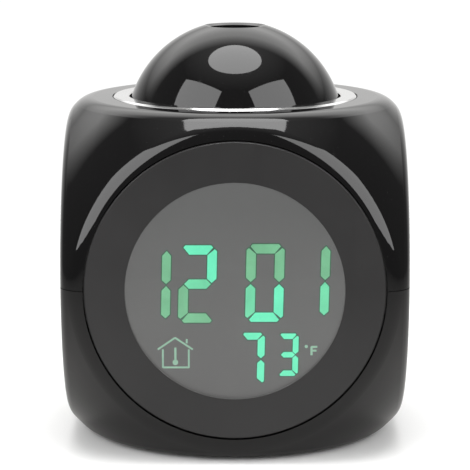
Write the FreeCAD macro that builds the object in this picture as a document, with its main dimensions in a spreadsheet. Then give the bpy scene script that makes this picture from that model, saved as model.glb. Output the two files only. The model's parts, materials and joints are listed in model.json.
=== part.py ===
import FreeCAD, Part
import Sketcher
import math
import os
import re

# Projection alarm clock: a ball-cornered cube of two casing halves with a round front bezel, a round rear
# cover, a trim ring and a press dome that carries the projection window. Millimetres, +Z up, front towards -Y,
# origin on the table under the middle of the clock.

V = FreeCAD.Vector
Rot = FreeCAD.Rotation
doc = FreeCAD.newDocument("ProjectionAlarmClock")
sheet = doc.addObject("Spreadsheet::Sheet", "Params")

PARAMS = [
    ("foot_proud", 0.5, "rubber feet below the bottom flat"),
    ("mid_z", 40.5, "height of the cube's middle, of the seam and of both discs"),
    ("half_cube", 40.0, "half the cube's side"),
    ("ball_radius", 54.0, "sphere that rounds the cube's edges and corners"),
    ("edge_round", 5.5, "fillet between flat and sphere"),
    ("wall", 2.0, "casing wall"),
    ("seam_gap", 0.16, "visible gap between the casing halves"),
    ("lip_tall", 1.5, "height of the locating lip"),
    ("disc_radius", 34.3, "front and rear disc"),
    ("disc_hole", 34.6, "hole in the casing for a disc"),
    ("disc_thick", 2.2, "disc thickness"),
    ("ledge_bore", 32.4, "inner ledge that traps a disc"),
    ("collar_radius", 32.1, "disc collar outside"),
    ("collar_bore", 30.6, "disc collar inside"),
    ("hook_radius", 33.4, "flange behind the ledge"),
    ("window_radius", 25.0, "display window opening"),
    ("lcd_apothem", 25.6, "half width of the eight-sided display glass"),
    ("board_radius", 32.4, "display board"),
    ("ring_outer", 29.1, "trim ring outside"),
    ("ring_bore", 25.3, "trim ring inside"),
    ("ring_top", 80.75, "top of the trim ring"),
    ("ring_seat", 79.5, "floor of the ring's recess"),
    ("dome_radius", 26.1, "press dome"),
    ("dome_centre", 72.3, "centre height of the dome's sphere"),
    ("dome_wall", 1.8, "dome wall"),
    ("dome_foot", 68.0, "lower edge of the dome"),
    ("dome_hole", 26.6, "casing hole round the dome"),
    ("aperture", 5.9, "light opening in the dome"),
    ("aperture_rim", 7.3, "outer edge of the opening's countersink"),
    ("dome_travel", 1.5, "press of the dome"),
    ("boss_x", 22.0, "casing screw position"),
    ("boss_y", 21.0, "casing screw position"),
    ("boss_radius", 3.8, "casing screw boss"),
    ("deck_z", 58.0, "underside of the projector deck"),
    ("deck_thick", 2.0, "projector deck"),
    ("barrel_radius", 7.6, "projector barrel outside"),
    ("barrel_bore", 6.4, "projector barrel inside"),
    ("cell_radius", 5.25, "AAA cell"),
    ("cell_long", 44.5, "AAA cell with its button"),
    ("cell_pitch", 10.9, "spacing of the cells"),
    ("cell_z", 8.0, "height of the cells' axes"),
    ("box_half", 16.4, "half width of the battery compartment"),
    ("door_thick", 1.7, "battery door"),
    ("button_x", 24.5, "underside button position"),
    ("button_y", 8.5, "underside button position"),
    ("button_radius", 3.4, "underside button"),
    ("jack_x", -10.2, "power socket, to the right seen from the back"),
    ("jack_z", 16.0, "power socket height"),
    ("jack_bore", 2.0, "power socket opening radius"),
    ("jack_pin", 0.65, "centre pin radius"),
    ("speaker_radius", 14.0, "loudspeaker"),
    ("hole_radius", 0.83, "speaker hole"),
    ("inner_holes", 6.05, "radius of the inner circle of speaker holes"),
    ("outer_holes", 11.6, "radius of the outer circle of speaker holes"),
]
P = {}
for i, (alias, value, note) in enumerate(PARAMS, 1):
    sheet.set("A%d" % i, note)
    sheet.set("B%d" % i, str(value))
    sheet.setAlias("B%d" % i, alias)
    P[alias] = value
doc.recompute()

WORD = re.compile(r"[A-Za-z_]+")  # the words of an expression


def E(e):
    """An expression on the sheet's cells."""
    if not isinstance(e, str):
        return "%.6f" % e
    return WORD.sub(lambda m: "Params." + m.group(0) if m.group(0) in P else m.group(0), e)


def N(e):
    """The number an expression stands for: + - * / and brackets over cells and plain numbers."""
    if not isinstance(e, str):
        return float(e)
    toks = re.findall(r"[A-Za-z_]+|[0-9.]+|[-+*/()]", e)
    pos = [0]

    def peek():
        return toks[pos[0]] if pos[0] < len(toks) else ""

    def take():
        pos[0] += 1
        return toks[pos[0] - 1]

    def atom():
        w = take()
        if w == "(":
            x = total()
            take()
            return x
        if w == "-":
            return -atom()
        if w == "sqrt":
            return math.sqrt(atom())
        return P[w] if w in P else float(w)

    def product():
        x = atom()
        while peek() in ("*", "/") and peek():
            x = x * atom() if take() == "*" else x / atom()
        return x

    def total():
        x = product()
        while peek() in ("+", "-") and peek():
            x = x + product() if take() == "+" else x - product()
        return x

    return total()


serial = [0]


def uid(base):
    serial[0] += 1
    return "%s_%03d" % (base, serial[0])


def place(o, x, y, z, rot=None):
    if rot is not None:
        o.Placement = FreeCAD.Placement(V(0, 0, 0), rot)
    o.setExpression("Placement.Base.x", E(x))
    o.setExpression("Placement.Base.y", E(y))
    o.setExpression("Placement.Base.z", E(z))
    return o


def box(x0, x1, y0, y1, z0, z1):
    o = doc.addObject("Part::Box", uid("Block"))
    o.setExpression("Length", "(%s) - (%s)" % (E(x1), E(x0)))
    o.setExpression("Width", "(%s) - (%s)" % (E(y1), E(y0)))
    o.setExpression("Height", "(%s) - (%s)" % (E(z1), E(z0)))
    return place(o, x0, y0, z0)


def cyl(r, lo, hi, a=0, b=0, axis="z"):
    """Cylinder along an axis from lo to hi; a, b are its other two coordinates in X, Y, Z order."""
    o = doc.addObject("Part::Cylinder", uid("Round"))
    o.setExpression("Radius", E(r))
    o.setExpression("Height", "(%s) - (%s)" % (E(hi), E(lo)))
    if axis == "z":
        return place(o, a, b, lo)
    if axis == "y":
        return place(o, a, lo, b, Rot(V(1, 0, 0), -90))
    return place(o, lo, a, b, Rot(V(0, 1, 0), 90))


def fuse(*objs):
    o = doc.addObject("Part::MultiFuse", uid("Fuse"))
    o.Shapes = list(objs)
    return o


def cut(base, *tools):
    o = doc.addObject("Part::Cut", uid("Cut"))
    o.Base = base
    o.Tool = tools[0] if len(tools) == 1 else fuse(*tools)
    return o


def common(*objs):
    o = doc.addObject("Part::MultiCommon", uid("Common"))
    o.Shapes = list(objs)
    return o


def group(*objs):
    o = doc.addObject("Part::Compound", uid("Group"))
    o.Links = list(objs)
    return o


def tube(r_out, r_in, lo, hi, a=0, b=0, axis="z"):
    return cut(cyl(r_out, lo, hi, a, b, axis), cyl(r_in, "(%s) - 1" % lo, "(%s) + 1" % hi, a, b, axis))


def origin_part(body, role):
    return [f for f in body.Origin.OriginFeatures if f.Role == role][0]


def new_sketch(body, plane):
    sk = body.newObject("Sketcher::SketchObject", uid("Sketch"))
    sk.AttachmentSupport = [(origin_part(body, plane), "")]
    sk.MapMode = "FlatFace"
    return sk


def outline(sk, points, arcs=None):
    """A closed outline through points whose coordinates are sheet expressions. arcs: {index: centre height}
    turns the line from that point to the next into an arc centred on the vertical axis, and {index: (radius,
    centre across, centre height)} into one with that radius."""
    arcs = arcs or {}
    pts = [(N(p[0]), N(p[1])) for p in points]
    n = len(pts)
    fwd = {}
    for i in range(n):
        a, b = pts[i], pts[(i + 1) % n]
        if i in arcs:
            x, c = (arcs[i][1], arcs[i][2]) if isinstance(arcs[i], tuple) else (0.0, N(arcs[i]))
            ta, tb = math.atan2(a[1] - c, a[0] - x), math.atan2(b[1] - c, b[0] - x)
            fwd[i] = ta < tb
            circle = Part.Circle(V(x, c, 0), V(0, 0, 1), math.hypot(a[0] - x, a[1] - c))
            sk.addGeometry(Part.ArcOfCircle(circle, min(ta, tb), max(ta, tb)), False)
        else:
            sk.addGeometry(Part.LineSegment(V(a[0], a[1], 0), V(b[0], b[1], 0)), False)

    def end(i, last):
        if i in fwd and not fwd[i]:
            return 1 if last else 2
        return 2 if last else 1

    for i in range(n):
        j = (i + 1) % n
        sk.addConstraint(Sketcher.Constraint("Coincident", i, end(i, True), j, end(j, False)))
    for i in range(n):
        for kind, k in (("DistanceX", 0), ("DistanceY", 1)):
            if abs(pts[i][k]) < 1e-9:
                sk.addConstraint(Sketcher.Constraint("PointOnObject", i, end(i, False), -2 if k == 0 else -1))
                continue
            c = sk.addConstraint(Sketcher.Constraint(kind, -1, 1, i, end(i, False), pts[i][k]))
            if isinstance(points[i][k], str):
                sk.setExpression("Constraints[%d]" % c, E(points[i][k]))
    for i in arcs:
        if isinstance(arcs[i], tuple):
            c = sk.addConstraint(Sketcher.Constraint("Radius", i, N(arcs[i][0])))
            sk.setExpression("Constraints[%d]" % c, E(arcs[i][0]))
        else:
            sk.addConstraint(Sketcher.Constraint("PointOnObject", i, 3, -2))


def turned(points, arcs=None):
    """A body of revolution about its own Z axis, from an outline of (radius, height) points."""
    body = doc.addObject("PartDesign::Body", uid("Body"))
    sk = new_sketch(body, "XZ_Plane")
    outline(sk, points, arcs)
    rev = body.newObject("PartDesign::Revolution", uid("Revolution"))
    rev.Profile = sk
    rev.ReferenceAxis = (sk, ["V_Axis"])
    rev.Angle = 360
    return body


def plate(points, thick, plane="XY_Plane"):
    """A body padded from a flat outline."""
    body = doc.addObject("PartDesign::Body", uid("Body"))
    sk = new_sketch(body, plane)
    outline(sk, points)
    pad = body.newObject("PartDesign::Pad", uid("Pad"))
    pad.Profile = sk
    pad.setExpression("Length", E(thick))
    return body


def holes(body, spots, r, pattern=None):
    """Round holes through a body along its Z axis, at plain (x, y) spots, optionally repeated round the axis."""
    sk = new_sketch(body, "XY_Plane")
    for x, y in spots:
        g = sk.addGeometry(Part.Circle(V(N(x), N(y), 0), V(0, 0, 1), N(r)), False)
        c = sk.addConstraint(Sketcher.Constraint("Radius", g, N(r)))
        sk.setExpression("Constraints[%d]" % c, E(r))
    doc.recompute()
    before = body.Shape.Volume
    po = body.newObject("PartDesign::Pocket", uid("Pocket"))
    po.Profile = sk
    po.Type = 1
    po.Reversed = True
    if pattern:
        pp = body.newObject("PartDesign::PolarPattern", uid("Pattern"))
        pp.Originals = [po]
        pp.Axis = (origin_part(body, "Z_Axis"), [""])
        pp.Angle = 360
        pp.Occurrences = pattern
        body.Tip = pp
    doc.recompute()
    if not body.Shape.Volume < before - 1e-6:
        raise RuntimeError("holes cut nothing in " + body.Name)


FRONT = Rot(V(1, 0, 0), 90)  # local +Z towards the front, local +Y up
REAR = Rot(V(1, 0, 0), -90)  # local +Z towards the back

NODES = []


def node(label, o):
    o.Label = label
    NODES.append(o)
    return o


def ballcube(ball, half, rnd):
    """Cube with its edges and corners rounded by a sphere about its middle and a fillet round each flat: what
    three bodies of revolution, one along each axis, have in common."""
    core = "sqrt(((%s) - (%s))*((%s) - (%s)) - ((%s) - (%s))*((%s) - (%s)))" % (ball, rnd, ball, rnd, half, rnd, half, rnd)
    grow = "(%s)/((%s) - (%s))" % (ball, ball, rnd)
    side = "%s*%s" % (core, grow)
    up = "((%s) - (%s))*%s" % (half, rnd, grow)
    mid = "40"
    pts = [(0, "%s - (%s)" % (mid, half)), (core, "%s - (%s)" % (mid, half)), (side, "%s - %s" % (mid, up)),
           (side, "%s + %s" % (mid, up)), (core, "%s + (%s)" % (mid, half)), (0, "%s + (%s)" % (mid, half))]
    c, h = N(core), N(half) - N(rnd)
    arcs = {1: (rnd, c, 40 - h), 2: mid, 3: (rnd, c, 40 + h)}
    out = []
    for k in range(3):
        b = turned(pts, arcs)
        if k == 0:
            place(b, 0, 0, "mid_z - 40")
        elif k == 1:
            place(b, -40, 0, "mid_z", Rot(V(0, 1, 0), 90))
        else:
            place(b, 0, -40, "mid_z", Rot(V(1, 0, 0), -90))
        out.append(b)
    return common(*out)


def joined(pieces):
    """Pieces that meet face to face, as one solid."""
    s = pieces[0].multiFuse(pieces[1:]) if len(pieces) > 1 else pieces[0]
    return s.removeSplitter()


def bend(start, direction, centre, normal, angle, r):
    """Round wire of radius r that leaves start along direction and turns about an axis by an angle in degrees."""
    face = Part.Face(Part.Wire(Part.makeCircle(r, start, direction)))
    return face.revolve(centre, normal, angle)


def coil(label_base, radii, heights, r):
    """A wire spring about its own Z axis: half turns, each a plane arc from one side to the other, so that every
    half turn meets the next one square."""
    o = doc.addObject("Part::Feature", uid(label_base))
    halves = []
    for i in range(len(radii) - 1):
        side = 1 if i % 2 == 0 else -1
        p, q = V(side * radii[i], 0, heights[i]), V(-side * radii[i + 1], 0, heights[i + 1])
        across = V(0, side, 0)
        c = (p + q) * 0.5
        n = (p - c).cross(across).normalize()
        halves.append(bend(p, across, c, n, 180, r))
    o.Shape = joined(halves)
    return o


# ---------------------------------------------------------------- casing halves
skin = ballcube("ball_radius", "half_cube", "edge_round")
hollow = ballcube("ball_radius - wall", "half_cube - wall", "edge_round - wall")
lip_out = ballcube("ball_radius - 1.05", "half_cube - 1.05", "edge_round - 1.05")
lip_cut = ballcube("ball_radius - 0.95", "half_cube - 0.95", "edge_round - 0.95")


def ledges():
    """The two inner rings that trap the front and rear discs."""
    return [tube(40, "ledge_bore", "-half_cube + disc_thick + 0.2", "-half_cube + disc_thick + 2.4", 0, "mid_z", "y"),
            tube(40, "ledge_bore", "half_cube - disc_thick - 2.4", "half_cube - disc_thick - 0.2", 0, "mid_z", "y")]


def disc_holes():
    return [cyl("disc_hole", "-half_cube - 2", "-half_cube + disc_thick + 0.2", 0, "mid_z", "y"),
            cyl("disc_hole", "half_cube - disc_thick - 0.2", "half_cube + 2", 0, "mid_z", "y")]


SIGNS = [(1, 1), (-1, 1), (-1, -1), (1, -1)]


def bosses(r, z0, z1):
    return [cyl(r, z0, z1, "%d*boss_x" % sx, "%d*boss_y" % sy) for sx, sy in SIGNS]


TAB_ANGLES = [21, 111, 201, 291]
keep_up = fuse(*(ledges() + bosses("boss_radius", "mid_z + 0.08", 82)
                 + [cyl(2.6, "deck_z + deck_thick", 82, s * 29.5, 0) for s in (1, -1)]))
stops = []
for a in TAB_ANGLES:
    # stop rib that the dome's tab rests up against
    o = doc.addObject("Part::Box", uid("Stop"))
    o.Length, o.Width = 1.7, 4.0
    o.setExpression("Height", E("80 - dome_foot - 1.6"))
    ca, sa = math.cos(math.radians(a)), math.sin(math.radians(a))
    place(o, 26.75 * ca + 2.0 * sa, 26.75 * sa - 2.0 * ca, "dome_foot + 1.6", Rot(V(0, 0, 1), a))
    stops.append(o)
void_up = cut(hollow, keep_up, *stops)
half_up = common(skin, box(-50, 50, -50, 50, "mid_z + seam_gap/2", 90))
rebate = common(cut(lip_cut, ballcube("ball_radius - wall - 0.05", "half_cube - wall - 0.05", "edge_round - wall - 0.05")),
                box(-50, 50, -50, 50, "mid_z - 1", "mid_z + seam_gap + lip_tall"))
up_tools = disc_holes() + [
    rebate,
    cyl("dome_hole", 70, 90),
    cyl("ring_outer + 0.25", "ring_seat", 90),
]
up_tools += [cyl(1.17, "mid_z", "mid_z + 9", "%d*boss_x" % sx, "%d*boss_y" % sy) for sx, sy in SIGNS]
up_tools += [cyl(0.85, "deck_z + deck_thick - 0.5", "deck_z + deck_thick + 8", s * 29.5, 0) for s in (1, -1)]
for k in range(4):
    a = math.radians(66 + 90 * k)
    up_tools.append(cyl(0.95, 76, "ring_seat + 0.5", 27.9 * math.cos(a), 27.9 * math.sin(a)))
node("upper_casing", cut(cut(half_up, void_up), *up_tools))

post_spots = [(s * 24.5, y) for s in (1, -1) for y in (-14.8, 0, 14.8)]
keep_low = fuse(*(ledges() + bosses("boss_radius", 0, "mid_z - 0.08")
                  + [box("-box_half - 2.1", "box_half + 2.1", -28.2, 26.0, 0, 15.1)]
                  + [cyl(2.2 if y == 0 else 1.1, 0, 9.0, x, y) for x, y in post_spots]))
half_low = common(skin, box(-50, 50, -50, 50, -2, "mid_z - seam_gap/2"))
low_solid = cut(half_low, cut(hollow, keep_low))
lip = common(cut(lip_out, hollow), box(-50, 50, -50, 50, "mid_z - 1", "mid_z + lip_tall"))
low_tools = disc_holes()
low_tools += bosses(3.1, -1, "foot_proud + 0.5")
low_tools += bosses(2.4, 0, 28)
low_tools += bosses(1.5, 20, 45)
low_tools += [
    box("-box_half", "box_half", -26.6, 24.4, -1, 13.9),
    box("-box_half - 1.1", "box_half + 1.1", -27.7, 25.5, -1, "foot_proud + door_thick + 0.2"),
]
low_tools += [cyl("button_radius + 0.25", -1, 4, "%d*button_x" % sx, "%d*button_y" % sy) for sx, sy in SIGNS]
low_tools += [cyl(0.8, 4, 12, s * 24.5, 0) for s in (1, -1)]
# lead holes through the compartment's roof, over the end contacts
low_tools += [cyl(0.9, 13, 16, -13.5, 23.2), cyl(0.9, 13, 16, 13.5, -25.4)]
node("lower_casing", cut(fuse(low_solid, lip), *low_tools))

# ---------------------------------------------------------------- front: bezel, window, display
bezel = turned([
    ("window_radius", "half_cube - 1.2"), ("window_radius", "half_cube"),
    ("disc_radius - 0.25", "half_cube"), ("disc_radius", "half_cube - 0.25"),
    ("disc_radius", "half_cube - disc_thick"), ("collar_radius", "half_cube - disc_thick"),
    ("collar_radius", 35.2), ("hook_radius", 35.0), ("hook_radius", 34.1), ("collar_radius", 34.1),
    ("collar_radius", 31.5), ("collar_bore", 31.5), ("collar_bore", "half_cube - disc_thick"),
    (27.0, "half_cube - disc_thick"), (27.0, "half_cube - 1.2")])
place(bezel, 0, 0, "mid_z", FRONT)
c45 = math.cos(math.radians(45))
spots45 = [(sx * 28.9 * c45, sy * 28.9 * c45) for sx, sy in SIGNS]
bezel_bosses = [cyl(2.0, -38.0, -31.5, x, "mid_z + %.4f" % z if z >= 0 else "mid_z - %.4f" % -z, "y") for x, z in spots45]
bezel_pilots = [cyl(0.8, -36.5, -31.0, x, "mid_z + %.4f" % z if z >= 0 else "mid_z - %.4f" % -z, "y") for x, z in spots45]
node("front_bezel", cut(fuse(bezel, *bezel_bosses), *bezel_pilots))

window = turned([(0, "half_cube - disc_thick"), (26.8, "half_cube - disc_thick"), (26.8, "half_cube - 1.2"),
                 ("window_radius - 0.06", "half_cube - 1.2"), ("window_radius - 0.06", "half_cube - 0.03"),
                 (0, "half_cube - 0.03")])
node("display_window", place(window, 0, 0, "mid_z", FRONT))

t8 = math.tan(math.radians(22.5))


def octagon(apo, shift=40.0):
    """Eight-sided outline; shifted so that every coordinate is positive."""
    k = apo * t8
    return [(shift + x, shift + y) for x, y in [(apo, -k), (apo, k), (k, apo), (-k, apo), (-apo, k), (-apo, -k), (-k, -apo), (k, -apo)]]


def oct_plate(apo, y_front, y_back):
    o = plate(octagon(apo), "(%s) - (%s)" % (y_back, y_front))
    # local Z towards the front, so the plate starts at its back face
    return place(o, -40, y_back, "mid_z - 40", FRONT)


lcd_front = oct_plate(P["lcd_apothem"], "-37.55", "-36.45")
lcd_rear = oct_plate(P["lcd_apothem"], "-36.45", "-35.35")
lcd_tab = box(-9, 9, -37.55, -36.45, "mid_z - 28.6", "mid_z - 25")
node("lcd_glass", fuse(lcd_front, lcd_rear, lcd_tab))
node("light_guide", oct_plate(P["lcd_apothem"] - 0.4, "-35.3", "-32.6"))
frame_tube = cut(oct_plate(P["lcd_apothem"] + 1.1, "-37.6", "-31.55"), oct_plate(P["lcd_apothem"] + 0.12, "-38.6", "-30"))
node("lcd_frame", cut(frame_tube, box(-9.7, 9.7, -38, -31, "mid_z - 30", "mid_z - 24"),
                      box(-10.2, -5.8, -34.6, -31, "mid_z + 24", "mid_z + 29"),
                      box(5.8, 10.2, -34.6, -31, "mid_z + 24", "mid_z + 29")))
node("contact_strip", box(-8.8, 8.8, -36.4, -31.5, "mid_z - 28.4", "mid_z - 26.4"))
node("backlight_leds", group(*[fuse(box(s * 8 - 1.7, s * 8 + 1.7, -34.3, -31.5, "mid_z + 25.7", "mid_z + 27.4"),
                                    box(s * 8 - 1.1, s * 8 + 1.1, -34.0, -32.4, "mid_z + 25.4", "mid_z + 26")) for s in (1, -1)]))
board = cyl("board_radius", -31.5, -29.9, 0, "mid_z", "y")
node("display_board", cut(board, *[cyl(1.1, -33, -29, x, "mid_z + %.4f" % z if z >= 0 else "mid_z - %.4f" % -z, "y") for x, z in spots45]))


def screw(head_r, head_t, shank_r, shank_l, head_kind="pan"):
    """A cross-head screw: its seat at height 0, head above, shank below, built as one revolved body."""
    top = head_t + 0.001
    pts = [(0.0, 40 - shank_l), (shank_r * 0.45, 40 - shank_l), (shank_r, 40 - shank_l + shank_r * 1.2), (shank_r, 40), (head_r, 40),
           (head_r, 40 + head_t * 0.55), (head_r * 0.7, 40 + top), (0.0, 40 + top)]
    b = turned(pts)
    place(b, 0, 0, -40)
    slot_w, slot_l = head_r * 0.28, head_r * 1.15
    z0 = head_t * 0.35
    return cut(b, fuse(box(-slot_l / 2, slot_l / 2, -slot_w / 2, slot_w / 2, z0, head_t + 1), box(-slot_w / 2, slot_w / 2, -slot_l / 2, slot_l / 2, z0, head_t + 1)))


def screw_set(proto, spots, rot):
    """Copies of one screw, each with its seat at a spot."""
    items = []
    for k, (x, y, z) in enumerate(spots):
        o = doc.addObject("Part::Compound", uid("Screw"))
        o.Links = [proto]
        place(o, x, y, z, rot)
        items.append(o)
    return group(*items)


def wz(z):
    return "mid_z + %.4f" % z if z >= 0 else "mid_z - %.4f" % -z


small_screw = screw(1.7, 1.2, 0.8, 5.0)
board_screws = [screw_set(small_screw, [(x, -29.9, wz(z)) for x, z in spots45], REAR)]

chip = box(-6, 6, -29.85, -28.3, "mid_z - 2", "mid_z + 10")
legs = [box(-5.2 + 1.3 * k, -4.8 + 1.3 * k, -29.9, -29.2, "mid_z - 3.3", "mid_z + 11.3") for k in range(9)]
node("controller_chip", fuse(chip, *legs))
vchip = box(9.5, 14.5, -29.85, -28.2, "mid_z - 6", "mid_z + 2")
vlegs = [box(8.4, 15.6, -29.9, -29.2, "mid_z - %.2f" % (5.4 - 1.27 * k), "mid_z - %.2f" % (5.0 - 1.27 * k)) for k in range(4)]
node("voice_chip", fuse(vchip, *vlegs))
node("quartz_crystal", fuse(cyl(1.0, -14, -8.4, -28.85, wz(-6), "x"), box(-8.4, -7.2, -29.0, -28.75, wz(-6.45), wz(-6.25)), box(-8.4, -7.2, -29.0, -28.75, wz(-5.75), wz(-5.55))))
cap_can = turned([(0, 1), (2.5, 1), (2.5, 6.0), (2.2, 6.3), (2.5, 6.6), (2.5, 8.4), (2.1, 8.8), (0, 8.8)])
node("filter_capacitor", place(cap_can, -14, -30.9, wz(4), REAR))
node("temperature_sensor", fuse(cyl(1.2, -29.6, -27.0, 14, wz(-14), "y"), cyl(0.3, -29.9, -29.0, 13.4, wz(-14), "y"), cyl(0.3, -29.9, -29.0, 14.6, wz(-14), "y")))

# ---------------------------------------------------------------- rear: cover, loudspeaker, power socket
rear = turned([(0, "half_cube - disc_thick"), (0, "half_cube"), ("disc_radius - 0.25", "half_cube"), ("disc_radius", "half_cube - 0.25"),
               ("disc_radius", "half_cube - disc_thick"), ("collar_radius", "half_cube - disc_thick"),
               ("collar_radius", 35.2), ("hook_radius", 35.0), ("hook_radius", 34.1), ("collar_radius", 34.1),
               ("collar_radius", 33.5), ("collar_bore", 33.5), ("collar_bore", "half_cube - disc_thick")])
holes(rear, [(0.0, 0.0)], "hole_radius")
holes(rear, [("inner_holes", 0.0)], "hole_radius", 8)
holes(rear, [("outer_holes", 0.0)], "hole_radius", 12)
place(rear, 0, 0, "mid_z", REAR)
sp_spots = [(16.5 * math.cos(math.radians(a)), 16.5 * math.sin(math.radians(a))) for a in (90, 210, 330)]
rear_bosses = [cyl(1.9, 36.5, 38.0, x, wz(z), "y") for x, z in sp_spots]
jack_tube = tube(4.6, 3.55, 34.2, 38.0, "jack_x", "jack_z", "y")
rear_tools = [cyl(0.7, 34, 39.0, x, wz(z), "y") for x, z in sp_spots]
rear_tools += [cyl("jack_bore + 0.03", 30, 45, "jack_x", "jack_z", "y"), cyl(3.55, 30, "half_cube - disc_thick", "jack_x", "jack_z", "y")]
node("rear_cover", cut(fuse(rear, *(rear_bosses + [jack_tube])), *rear_tools))

basket = turned([(12.8, 37.7), (14.0, 37.7), (14.0, 36.6), (12.9, 36.6), (8.6, 33.6), (7.0, 33.6), (7.0, 34.2), (8.3, 34.2), (12.2, 36.9), (12.8, 37.2)])
place(basket, 0, 0, "mid_z", REAR)
node("speaker_basket", cut(basket, *[cyl(1.6, 30, 36.2, 10.4 * math.cos(math.radians(a)), wz(10.4 * math.sin(math.radians(a))), "y") for a in (45, 135, 225, 315)]))
cone = turned([(0, 35.9), (2.2, 35.7), (4.0, 35.0), (9.5, 37.0), (10.9, 37.3), (12.1, 37.0), (12.7, 37.25), (12.7, 37.4), (12.1, 37.2), (10.9, 37.5), (9.4, 37.2), (4.1, 35.25), (2.2, 35.95), (0, 36.15)])
node("speaker_cone", place(cone, 0, 0, "mid_z", REAR))
magnet = turned([(0, 28.6), (7.6, 28.6), (8.0, 29.0), (8.0, 33.1), (7.6, 33.6), (3.4, 33.6), (3.4, 34.3), (0, 34.3)])
node("speaker_magnet", place(magnet, 0, 0, "mid_z", REAR))
washer_screw = screw(3.1, 1.1, 0.7, 2.0)
node("speaker_screws", screw_set(washer_screw, [(x, 36.5, wz(z)) for x, z in sp_spots], FRONT))

jack_shell = fuse(cyl(3.5, 33.0, "half_cube - disc_thick", "jack_x", "jack_z", "y"), box("jack_x - 3.7", "jack_x + 3.7", 27.2, 33.2, "jack_z - 3.3", "jack_z + 3.3"))
node("dc_socket_body", cut(jack_shell, cyl("jack_bore - 0.05", 28.8, 45, "jack_x", "jack_z", "y"), cyl("jack_pin", 26, 45, "jack_x", "jack_z", "y")))
pin = turned([(0, 1), ("jack_pin", 1), ("jack_pin", 9.6), ("jack_pin - 0.35", 10.1), (0, 10.2)])
place(pin, "jack_x", 26.0, "jack_z", REAR)
node("dc_socket_contacts", group(pin, box("jack_x - 2.6", "jack_x - 1.2", 25.9, 27.2, "jack_z + 1.6", "jack_z + 2.0"), box("jack_x + 1.2", "jack_x + 2.6", 25.9, 27.2, "jack_z + 1.6", "jack_z + 2.0")))

# ---------------------------------------------------------------- top: ring, dome, projector
ring = turned([("ring_bore + 0.1", "ring_seat + 0.1"), ("ring_outer", "ring_seat + 0.1"), ("ring_outer", "ring_top - 0.3"), ("ring_outer - 0.3", "ring_top"),
               ("ring_bore + 0.25", "ring_top"), ("ring_bore", "ring_top - 0.25")])
pegs = []
for k in range(4):
    a = math.radians(66 + 90 * k)
    pegs.append(cyl(0.85, 77.6, "ring_seat + 0.4", 27.9 * math.cos(a), 27.9 * math.sin(a)))
node("trim_ring", fuse(ring, *pegs))

R, C = P["dome_radius"], P["dome_centre"]
z_rim = C + math.sqrt(R * R - P["aperture_rim"] ** 2)
ri = R - P["dome_wall"]
z_tube = C + math.sqrt(ri * ri - 9.4 ** 2)
dome = turned([("aperture", z_rim - 0.45), ("aperture_rim", z_rim), ("dome_radius", "dome_centre"), ("dome_radius", "dome_foot"),
               ("dome_radius - dome_wall", "dome_foot"), ("dome_radius - dome_wall", "dome_centre"), (9.4, z_tube),
               (9.4, 75.2), (11.0, 75.2), (11.0, 74.0), (8.2, 74.0), (8.2, 94.0), (6.9, 94.0), (6.9, 96.0), ("aperture", 96.0)],
              {1: "dome_centre", 5: "dome_centre"})
tabs = []
for a in TAB_ANGLES:
    ca, sa = math.cos(math.radians(a)), math.sin(math.radians(a))
    o = doc.addObject("Part::Box", uid("Tab"))
    o.Length, o.Width = 3.0, 5.6
    o.setExpression("Height", "1.5")
    place(o, 25.2 * ca + 2.8 * sa, 25.2 * sa - 2.8 * ca, "dome_foot", Rot(V(0, 0, 1), a))
    tabs.append(common(o, cyl(28.2, "dome_foot - 1", "dome_foot + 3")))
    tabs.append(cyl(0.9, 57.2, "dome_foot + 0.5", 27.2 * ca, 27.2 * sa))
pusher = box(-2.0, 2.0, 18.2, 24.9, 67.38, 70.0)
node("projector_dome", fuse(dome, pusher, *tabs))
lens_cap = turned([(0, 94.7), (6.8, 94.7), (6.8, 95.98), (0, 95.98)])
node("dome_window", lens_cap)

deck = common(cyl(31.0, "deck_z", "deck_z + deck_thick"), box(-40, 40, -27.5, 30.0, 50, 70))
bushes, deck_tools = [], bosses("boss_radius + 0.3", 50, 70)
for a in TAB_ANGLES:
    ca, sa = math.cos(math.radians(a)), math.sin(math.radians(a))
    bushes.append(cyl(1.9, "deck_z - 2.5", "deck_z + deck_thick", 27.2 * ca, 27.2 * sa))
    deck_tools.append(cyl(0.98, 50, 70, 27.2 * ca, 27.2 * sa))
bushes += [cyl(2.3, "deck_z - 4.5", "deck_z + 0.5", s * 14.2, 0) for s in (1, -1)]
deck_tools += [cyl(0.85, "deck_z - 4", 70, s * 14.2, 0) for s in (1, -1)]
deck_tools += [cyl(1.0, 50, 70, s * 29.5, 0) for s in (1, -1)]
node("projector_deck", cut(fuse(deck, *bushes), *deck_tools))
board_screws.append(screw_set(small_screw, [(s * 29.5, 0, "deck_z") for s in (1, -1)], Rot(V(1, 0, 0), 180)))

top_board = cyl(24.0, "deck_z + deck_thick", "deck_z + deck_thick + 1.4")
node("projector_board", cut(top_board, *([cyl(1.0, 55, 70, s * 14.2, 0) for s in (1, -1)])))
barrel = turned([(6.0, 62.5), (6.0, 70.5), ("barrel_bore", 70.5), ("barrel_bore", 91.5), ("barrel_radius", 91.5), ("barrel_radius", 62.9), (11.4, 62.9), (11.4, 61.4), (6.0, 61.4)])
ears = [fuse(cyl(2.6, 61.4, 62.9, s * 14.2, 0), box(s * 12 - 2.6, s * 12 + 2.6, -2.6, 2.6, 61.4, 62.9)) for s in (1, -1)]
ears = [cut(e, cyl(7.0, 60, 64)) for e in ears]
node("projector_barrel", cut(fuse(barrel, *ears), *([cyl(1.0, 60, 70, s * 14.2, 0) for s in (1, -1)] + [box(-3.2, 3.2, -9, -5.5, 75.2, 76.6), box(-2.0, 2.0, -12, -7.6, 61, 63.5)])))
board_screws.append(screw_set(small_screw, [(s * 14.2, 0, 62.9) for s in (1, -1)], Rot(V(0, 0, 1), 0)))
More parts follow.
